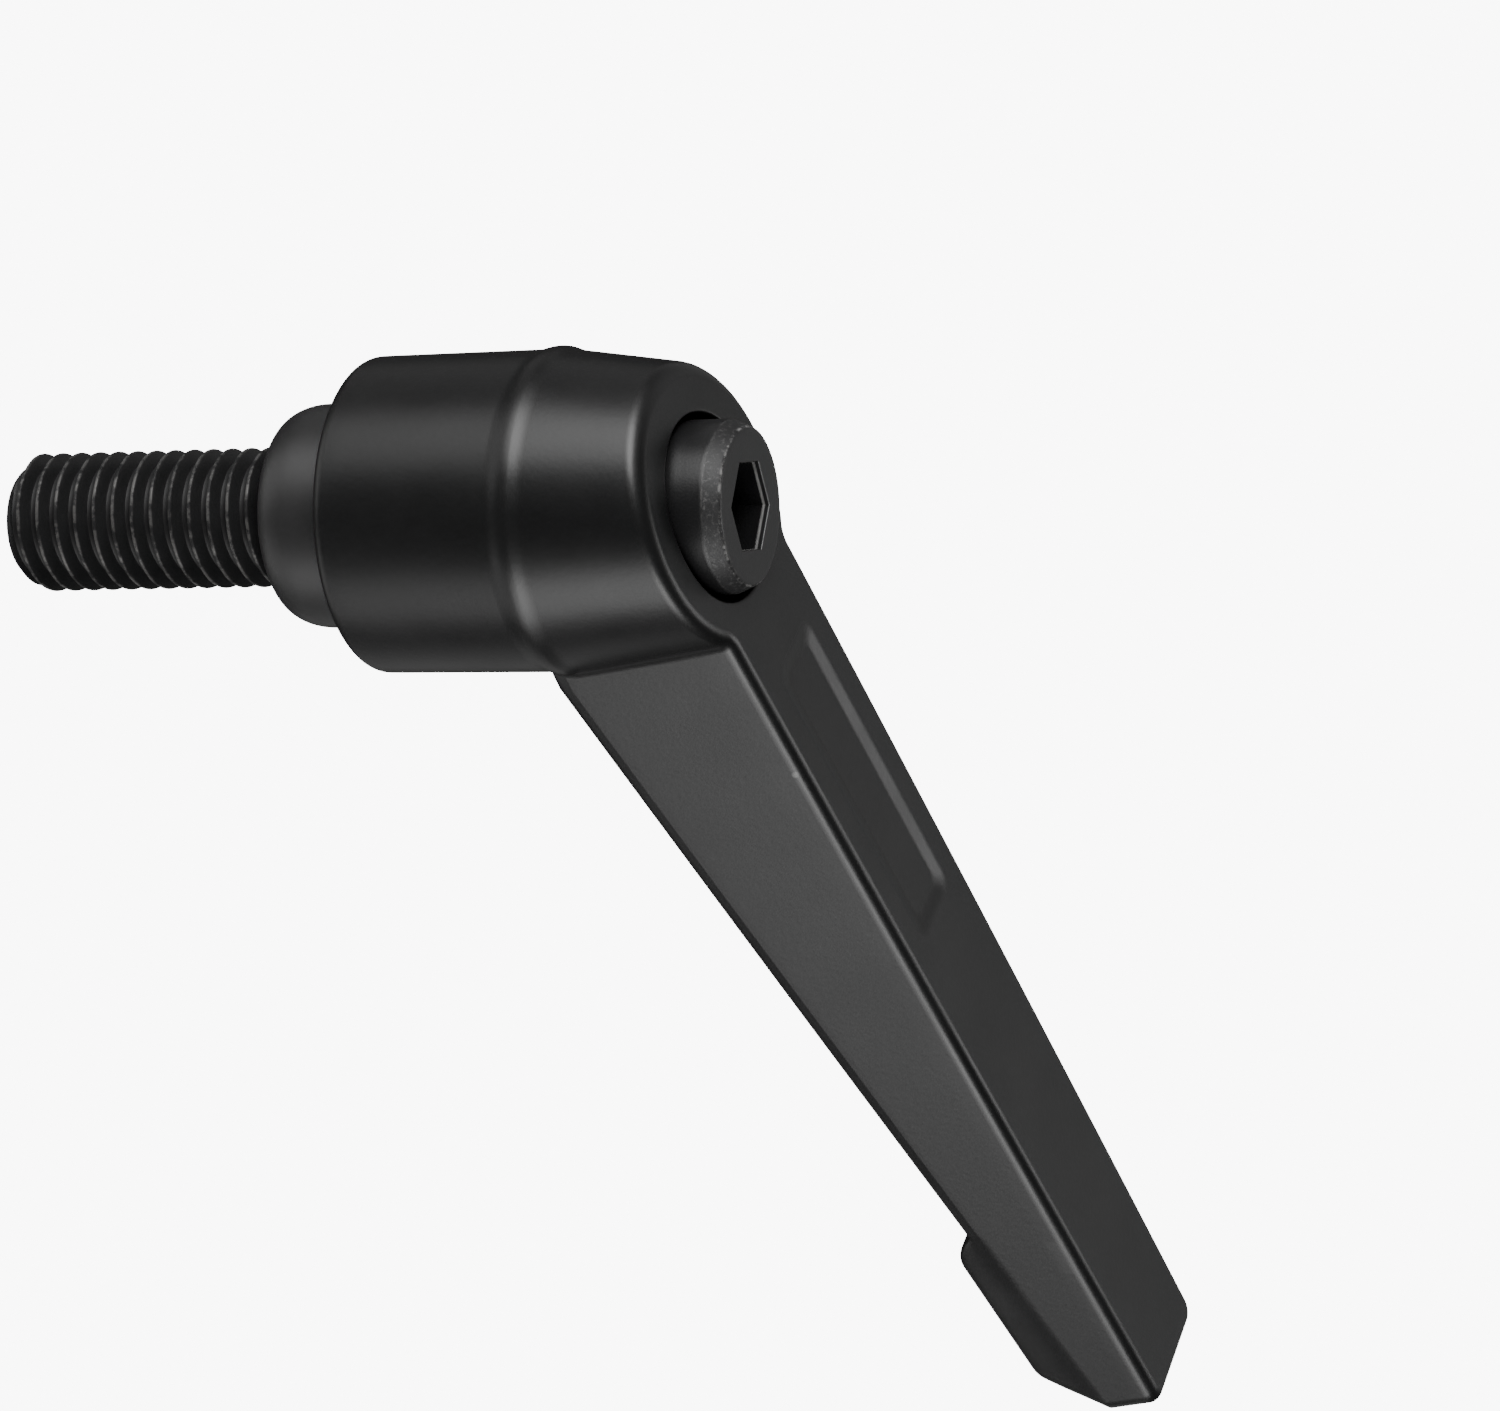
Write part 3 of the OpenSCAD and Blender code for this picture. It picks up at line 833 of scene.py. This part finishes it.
def spring_tree(material):
    """A compression spring: a helix of round wire, whose end coils lie almost flat and are ground flat."""
    sizes = ("Coil radius", "Wire", "Coils", "Foot", "Top")
    tree, bench, given, output = geometry_tree("Compression spring", sizes)
    maths = bench.maths
    wire, coils, foot, top = (given[label] for label in sizes[1:])
    line = bench.node("GeometryNodeCurvePrimitiveLine")
    fine = bench.node("GeometryNodeResampleCurve", Curve=line.outputs[0], Count=COIL_POINTS)
    share = bench.node("GeometryNodeSplineParameter").outputs["Factor"]
    turns = maths("MULTIPLY", share, coils)
    # Each end coil rises by one wire, and the coils between them by what is left
    low = maths("MULTIPLY", maths("MINIMUM", turns, 1.0), wire)
    last = maths("ADD", maths("SUBTRACT", turns, coils), 1.0)
    high = maths("MULTIPLY", maths("MAXIMUM", last, 0.0), wire)
    before_last = maths("MINIMUM", turns, maths("SUBTRACT", coils, 1.0))
    middle = maths("MAXIMUM", maths("SUBTRACT", before_last, 1.0), 0.0)
    middle = maths("DIVIDE", middle, maths("SUBTRACT", coils, 2.0))
    seat = maths("MULTIPLY", wire, 0.5 - COIL_GROUND)
    seats_apart = maths("SUBTRACT", maths("SUBTRACT", top, foot), maths("MULTIPLY", seat, 2.0))
    free = maths("SUBTRACT", seats_apart, maths("MULTIPLY", wire, 2.0))
    z = maths("ADD", maths("ADD", low, high), maths("MULTIPLY", middle, free))
    z = maths("ADD", z, maths("ADD", foot, seat))
    point = bench.polar(given["Coil radius"], maths("MULTIPLY", turns, 2 * math.pi), z)
    helix = bench.node("GeometryNodeSetPosition", Geometry=fine.outputs[0], Position=point)
    ring = bench.node("GeometryNodeCurvePrimitiveCircle", Resolution=WIRE_POINTS)
    bench.feed(ring.inputs["Radius"], maths("MULTIPLY", wire, 0.5))
    swept = bench.node("GeometryNodeCurveToMesh", Curve=helix.outputs[0], Profile_Curve=ring.outputs[0],
                       Fill_Caps=True)
    here = bench.node("ShaderNodeSeparateXYZ", Vector=bench.node("GeometryNodeInputPosition").outputs[0])
    ground = bench.between(here.outputs["Z"], foot, top)
    flat = bench.node("ShaderNodeCombineXYZ", X=here.outputs["X"], Y=here.outputs["Y"], Z=ground)
    cut = bench.node("GeometryNodeSetPosition", Geometry=swept.outputs[0], Position=flat.outputs[0])
    end_of_tree(bench, cut.outputs[0], output, material)
    return tree


def build_spring(material):
    """Compression spring between the web and the screw's head."""
    sizes = {"Coil radius": COIL_R, "Wire": WIRE_D, "Coils": COIL_COUNT, "Foot": WEB_TOP, "Top": HEAD_Z}
    mesh = tidy_mesh(mesh_from_tree(spring_tree(material), sizes), 1e-4)
    piece = finished("coil_spring", mesh, material, "spring", "return_spring",
                     edge_angle=50, weighted=False)
    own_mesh(piece)
    return piece


# Finishes


def effect_group(name, sizes, outputs):
    """A shader node group that takes a place and these sizes, with their usual values, and gives outputs."""
    group = bpy.data.node_groups.new(name, "ShaderNodeTree")
    group.interface.new_socket("Vector", in_out="INPUT", socket_type="NodeSocketVector")
    for label, value in sizes.items():
        group.interface.new_socket(label, in_out="INPUT", socket_type="NodeSocketFloat").default_value = value
    for label in outputs:
        group.interface.new_socket(label, in_out="OUTPUT", socket_type="NodeSocketFloat")
    given = group.nodes.new("NodeGroupInput")
    return group, NodeBench(group), given.outputs, group.nodes.new("NodeGroupOutput").inputs


def noise(bench, given, label, detail, roughness):
    """Noise at the group's place, as coarse as the named input says, in millimetres."""
    scale = bench.maths("DIVIDE", 1 / MM, given[label])
    return bench.node("ShaderNodeTexNoise", Vector=given["Vector"], Scale=scale, Detail=detail,
                      Roughness=roughness).outputs[0]


def fine_grain_group():
    """Fine grain of a coated or blackened surface: a height for bump, and a slow change of tone."""
    sizes = {"Size": 0.4, "Patch size": 6.0}
    group, bench, given, output = effect_group("Fine grain", sizes, ("Height", "Tone"))
    bench.feed(output["Height"], noise(bench, given, "Size", 2.0, 0.5))
    bench.feed(output["Tone"], noise(bench, given, "Patch size", 3.0, 0.55))
    return group


def edge_wear_group():
    """Bare metal where a blackened edge has been rubbed. Mask in, broken mask out."""
    sizes = {"Where": 1.0, "Size": 0.5, "Amount": 0.5}
    group, bench, given, output = effect_group("Edge wear", sizes, ("Wear",))
    more = bench.maths("SUBTRACT", given["Amount"], 0.5)
    lifted = bench.maths("ADD", noise(bench, given, "Size", 5.0, 0.7), more)
    broken = bench.ramp(lifted, 0.44, 0.62, kind="SMOOTHSTEP")
    bench.feed(output["Wear"], bench.maths("MULTIPLY", broken, given["Where"]))
    return group


def placed_group(bench, group, **inputs):
    return bench.node("ShaderNodeGroup", {"node_tree": group}, **inputs)


def new_material(name, roughness, metallic, color, specular=0.5):
    """A material. Returns it with its bench, its shader and the place on the object."""
    material = bpy.data.materials.new(name)
    material.use_nodes = True
    bench = NodeBench(material.node_tree)
    shader = material.node_tree.nodes["Principled BSDF"]
    shader.inputs["Roughness"].default_value = roughness
    shader.inputs["Metallic"].default_value = metallic
    shader.inputs["Base Color"].default_value = (*color, 1.0)
    shader.inputs["Specular IOR Level"].default_value = specular
    return material, bench, shader, bench.node("ShaderNodeTexCoord").outputs["Object"]


def blend_color(bench, share, color_a, color_b):
    made = bench.node("ShaderNodeMix", {"data_type": "RGBA"}, Factor=share)
    colors = [s for s in made.inputs if s.type == "RGBA"]
    for socket, value in zip(colors, (color_a, color_b)):
        bench.feed(socket, value if isinstance(value, bpy.types.NodeSocket) else (*value, 1.0))
    return [s for s in made.outputs if s.type == "RGBA"][0]


def bump(bench, shader, height, depth, strength):
    """Bump from a height, its depth in millimetres."""
    made = bench.node("ShaderNodeBump", Height=height, Strength=strength, Distance=depth * MM)
    bench.feed(shader.inputs["Normal"], made.outputs[0])


def rise(bench, value, low, high):
    """0 up to low and 1 from high on, both in millimetres."""
    return bench.ramp(value, low * MM, high * MM)


def band(bench, value, middle, half):
    """1 at this middle, falling to 0 at half a width on both sides, in millimetres."""
    off = bench.maths("ABSOLUTE", bench.maths("SUBTRACT", value, middle * MM))
    return rise(bench, off, half, 0.0)


def radius_and_height(bench, at):
    parts = bench.node("ShaderNodeSeparateXYZ", Vector=at)
    squares = [bench.maths("MULTIPLY", parts.outputs[axis], parts.outputs[axis]) for axis in "XY"]
    return bench.maths("SQRT", bench.maths("ADD", *squares)), parts.outputs["Z"]


def light_spot_on_edge(bench, at):
    """1 in the middle of the small light spot on the arm's near edge."""
    middle = Vector((LIGHT_SPOT_X, -arm_half(LIGHT_SPOT_X), top_z(LIGHT_SPOT_X) - LIGHT_SPOT_DEPTH)) * MM
    away = bench.node("ShaderNodeVectorMath", {"operation": "DISTANCE"})
    bench.feed(away.inputs[0], at)
    bench.feed(away.inputs[1], middle)
    return rise(bench, away.outputs["Value"], LIGHT_SPOT_R, LIGHT_SPOT_R * 0.4)


def coated_zinc(grain):
    """Satin black coating with a fine grain, a slight change of tone and a small light grey spot on the near
    edge.
    """
    material, bench, shader, at = new_material("Satin black coating", 0.36, 0.0, (0.005, 0.005, 0.0052))
    fine = placed_group(bench, grain, Vector=at, Size=0.35, Patch_size=7.0)
    bump(bench, shader, fine.outputs["Height"], 0.02, 0.35)
    bench.feed(shader.inputs["Roughness"], bench.ramp(fine.outputs["Tone"], 0.3, 0.7, 0.33, 0.39))
    share = bench.ramp(fine.outputs["Tone"], 0.3, 0.7)
    tone = blend_color(bench, share, (0.0042, 0.0042, 0.0044), (0.0055, 0.0055, 0.0057))
    # Light grey in a small spot on the arm's near edge
    color = blend_color(bench, light_spot_on_edge(bench, at), tone, (0.1, 0.1, 0.098))
    bench.feed(shader.inputs["Base Color"], color)
    return material


def blackened_insert(grain):
    """Smooth black oxide on the turned insert."""
    material, bench, shader, at = new_material("Black oxide, turned", 0.44, 0.0, (0.009, 0.009, 0.0094), 0.7)
    fine = placed_group(bench, grain, Vector=at, Size=0.25, Patch_size=5.0)
    bump(bench, shader, fine.outputs["Height"], 0.01, 0.25)
    bench.feed(shader.inputs["Roughness"], bench.ramp(fine.outputs["Tone"], 0.3, 0.7, 0.41, 0.47))
    return material


def blackened_thread(grain, wear):
    """Black oxide with crests rubbed lighter here and there."""
    dark_oxide = (0.008, 0.008, 0.0083)
    material, bench, shader, at = new_material("Black oxide, threaded", 0.42, 0.0, dark_oxide, 0.35)
    radius, _ = radius_and_height(bench, at)
    crest = rise(bench, radius, STUD_D / 2 - 0.11, STUD_D / 2 - 0.01)
    lightened = placed_group(bench, wear, Vector=at, Where=crest, Size=1.0, Amount=0.52).outputs[0]
    fine = placed_group(bench, grain, Vector=at, Size=0.12, Patch_size=2.0)
    dark = blend_color(bench, fine.outputs["Tone"], (0.004, 0.004, 0.0042), (0.011, 0.011, 0.0114))
    bench.feed(shader.inputs["Base Color"], blend_color(bench, lightened, dark, (0.1, 0.098, 0.096)))
    bench.feed(shader.inputs["Metallic"], bench.ramp(lightened, 0.0, 1.0, 0.0, 0.6))
    bench.feed(shader.inputs["Roughness"], bench.ramp(lightened, 0.0, 1.0, 0.5, 0.34))
    bump(bench, shader, fine.outputs["Height"], 0.02, 0.5)
    return material


def blackened_screw(grain, wear):
    """Black oxide with fine bright lines of wear along the chamfer's edges, a painted highlight along the
    step in the socket, a lightly scratched chamfer and a smooth socket.
    """
    material, bench, shader, at = new_material("Black oxide, worn screw with painted step highlight", 0.38, 0.0, (0.01, 0.01, 0.0104))
    maths = bench.maths
    radius, height = radius_and_height(bench, at)
    bend_z, rim_r, step_z = FACE_Z - HEAD_CHAMFER_H, HEAD_R - HEAD_CHAMFER_W, FACE_Z - HEX_STEP
    socket_r = HEX_AF * 0.58
    over_bend = rise(bench, height, bend_z - 0.1, bend_z + 0.1)
    outer = rise(bench, radius, rim_r - 0.25, rim_r - 0.05)
    chamfer = maths("MULTIPLY", over_bend, outer)
    inside = rise(bench, radius, socket_r + 0.02, socket_r)
    socket = maths("MULTIPLY", rise(bench, height, step_z, step_z - 0.1), inside)
    # Bright lines: the chamfer's lower and upper edge, worn in broken lines, and a painted highlight along
    # the step in the socket
    low_line = maths("MULTIPLY", band(bench, height, bend_z + 0.02, 0.1), outer)
    high_line = maths("MULTIPLY", band(bench, radius, rim_r - 0.06, 0.1), over_bend)
    painted_step_highlight = maths("MULTIPLY", band(bench, height, step_z - 0.05, 0.12), inside)
    lines = maths("MAXIMUM", maths("MULTIPLY", low_line, 0.12), maths("MULTIPLY", high_line, 0.9))
    bright = placed_group(bench, wear, Vector=at, Where=lines, Size=1.0, Amount=0.5).outputs[0]
    scratched = placed_group(bench, wear, Vector=at, Where=chamfer, Size=0.3, Amount=0.42).outputs[0]
    # Wear on the chamfer and its edges, with the painted highlight of the socket's step
    lightened = maths("MAXIMUM", maths("MAXIMUM", maths("MULTIPLY", scratched, 0.16), bright), painted_step_highlight)
    fine = placed_group(bench, grain, Vector=at, Size=0.15, Patch_size=2.5)
    dark = blend_color(bench, fine.outputs["Tone"], (0.006, 0.006, 0.0063), (0.01, 0.01, 0.0104))
    bench.feed(shader.inputs["Base Color"], blend_color(bench, lightened, dark, (0.34, 0.335, 0.33)))
    bench.feed(shader.inputs["Metallic"], maths("MULTIPLY", lightened, 0.6))
    plain = maths("MULTIPLY_ADD", chamfer, 0.2, maths("MULTIPLY_ADD", socket, -0.16, 0.36))
    bench.feed(shader.inputs["Roughness"], maths("MULTIPLY_ADD", lightened, -0.2, plain))
    bump(bench, shader, fine.outputs["Height"], 0.02, 0.4)
    return material


def spring_wire(grain):
    """Drawn spring wire."""
    material, bench, shader, at = new_material("Drawn spring wire", 0.35, 1.0, (0.3, 0.3, 0.31))
    fine = placed_group(bench, grain, Vector=at, Size=0.1, Patch_size=2.0)
    tone = blend_color(bench, fine.outputs["Tone"], (0.22, 0.22, 0.23), (0.36, 0.36, 0.37))
    bench.feed(shader.inputs["Base Color"], tone)
    bump(bench, shader, fine.outputs["Height"], 0.01, 0.3)
    return material


# Stage, in metres

CAMERA_AT = Vector((-230.791, -317.878, 193.714)) * MM
CAMERA_RIGHT = Vector((0.239796, 0.290833, 0.926237))
CAMERA_UP = Vector((-0.786025, 0.618122, 0.009410))
CAMERA_BACK = Vector((-0.569791, -0.730302, 0.376825))
CAMERA_LENS = 149.321
CAMERA_SENSOR = 36.0
AIM = Vector((30.0, 0.0, 20.0)) * MM
WORLD_GLOW = 0.04
FLOOR_HALF = 6.0
FLOOR_Z = -0.16
FLOOR_GLOW = 9.0

# Name, azimuth, elevation, distance, width, height and glow in watts per square metre of each light
SOFTBOXES = (
    ("Left softbox", 180, 6, 0.60, 0.42, 0.56, 12.5),
    ("Left upper strip", 180, 23, 0.58, 0.42, 0.22, 24.0),
    ("Left ground", 180, -50, 0.60, 0.42, 0.62, 3.2),
    ("Right softbox", 295, 6, 0.60, 0.40, 0.56, 11.0),
    ("Right upper strip", 295, 23, 0.58, 0.40, 0.22, 12.0),
    ("Right ground", 295, -50, 0.60, 0.40, 0.62, 2.8),
    ("Back softbox", 72, 24, 0.80, 1.25, 0.95, 0.75),
    ("Overhead softbox", 50, 61, 0.60, 0.24, 0.20, 12.0),
    ("Back upper card", 108, 40, 0.70, 0.60, 0.30, 0.6),
    ("Far ground", 5, -22, 0.80, 0.60, 0.50, 1.0),
    ("Far left card", 120, -16, 0.80, 0.50, 0.50, 0.8),
)


def placed(name, data, at, right, up, back):
    """A camera or light at this point, which looks away from its back."""
    found = bpy.data.objects.new(name, data)
    turn = Matrix((right, up, back)).transposed()
    found.matrix_world = Matrix.Translation(at) @ turn.to_4x4()
    bpy.context.scene.collection.objects.link(found)
    return found


def place_camera():
    data = bpy.data.cameras.new("Camera")
    data.lens = CAMERA_LENS
    data.sensor_width = CAMERA_SENSOR
    data.sensor_fit = "HORIZONTAL"
    data.clip_start, data.clip_end = 0.01, 20.0
    bpy.context.scene.camera = placed("Camera", data, CAMERA_AT, CAMERA_RIGHT, CAMERA_UP, CAMERA_BACK)


def softbox(name, azimuth, elevation, distance, width, height, glow):
    """A rectangular light aimed at the object from this direction, in degrees."""
    data = bpy.data.lights.new(name, "AREA")
    data.shape = "RECTANGLE"
    data.size, data.size_y = width, height
    data.energy = glow * width * height
    a, e = math.radians(azimuth), math.radians(elevation)
    back = Vector(polar(math.cos(e), a, math.sin(e)))
    side = Vector((0, 0, 1)).cross(back).normalized()
    placed(name, data, AIM + back * distance, side, back.cross(side), back)


def light_the_scene():
    for box in SOFTBOXES:
        softbox(*box)
    world = bpy.data.worlds.new("Studio")
    bpy.context.scene.world = world
    world.use_nodes = True
    background = world.node_tree.nodes["Background"]
    background.inputs["Color"].default_value = (1.0, 1.0, 1.0, 1.0)
    background.inputs["Strength"].default_value = WORLD_GLOW


def lay_floor():
    """A plain pale floor, well below the stud's end."""
    corners = [(-1, -1), (1, -1), (1, 1), (-1, 1)]
    mesh = bpy.data.meshes.new("floor")
    mesh.from_pydata([(x * FLOOR_HALF, y * FLOOR_HALF, FLOOR_Z) for x, y in corners], [], [(0, 1, 2, 3)])
    floor = scratch_object(mesh)
    material, bench, shader, _ = new_material("Pale floor", 0.9, 0.0, (0.9, 0.9, 0.9), 0.1)
    light_path = bench.node("ShaderNodeLightPath")
    glow = bench.node("ShaderNodeEmission", Color=(1.0, 1.0, 1.0, 1.0), Strength=FLOOR_GLOW)
    both = bench.node("ShaderNodeMixShader")
    for k, value in enumerate((light_path.outputs["Is Camera Ray"], shader.outputs[0], glow.outputs[0])):
        bench.feed(both.inputs[k], value)
    bench.feed(material.node_tree.nodes["Material Output"].inputs["Surface"], both.outputs[0])
    mesh.materials.append(material)
    floor.visible_glossy = False
    floor.visible_shadow = False


def main():
    place_camera()
    light_the_scene()
    lay_floor()
    grain, wear = fine_grain_group(), edge_wear_group()
    build_handle(coated_zinc(grain))
    build_insert(blackened_insert(grain))
    build_stud(blackened_thread(grain, wear))
    build_screw(blackened_screw(grain, wear))
    build_spring(spring_wire(grain))


main()
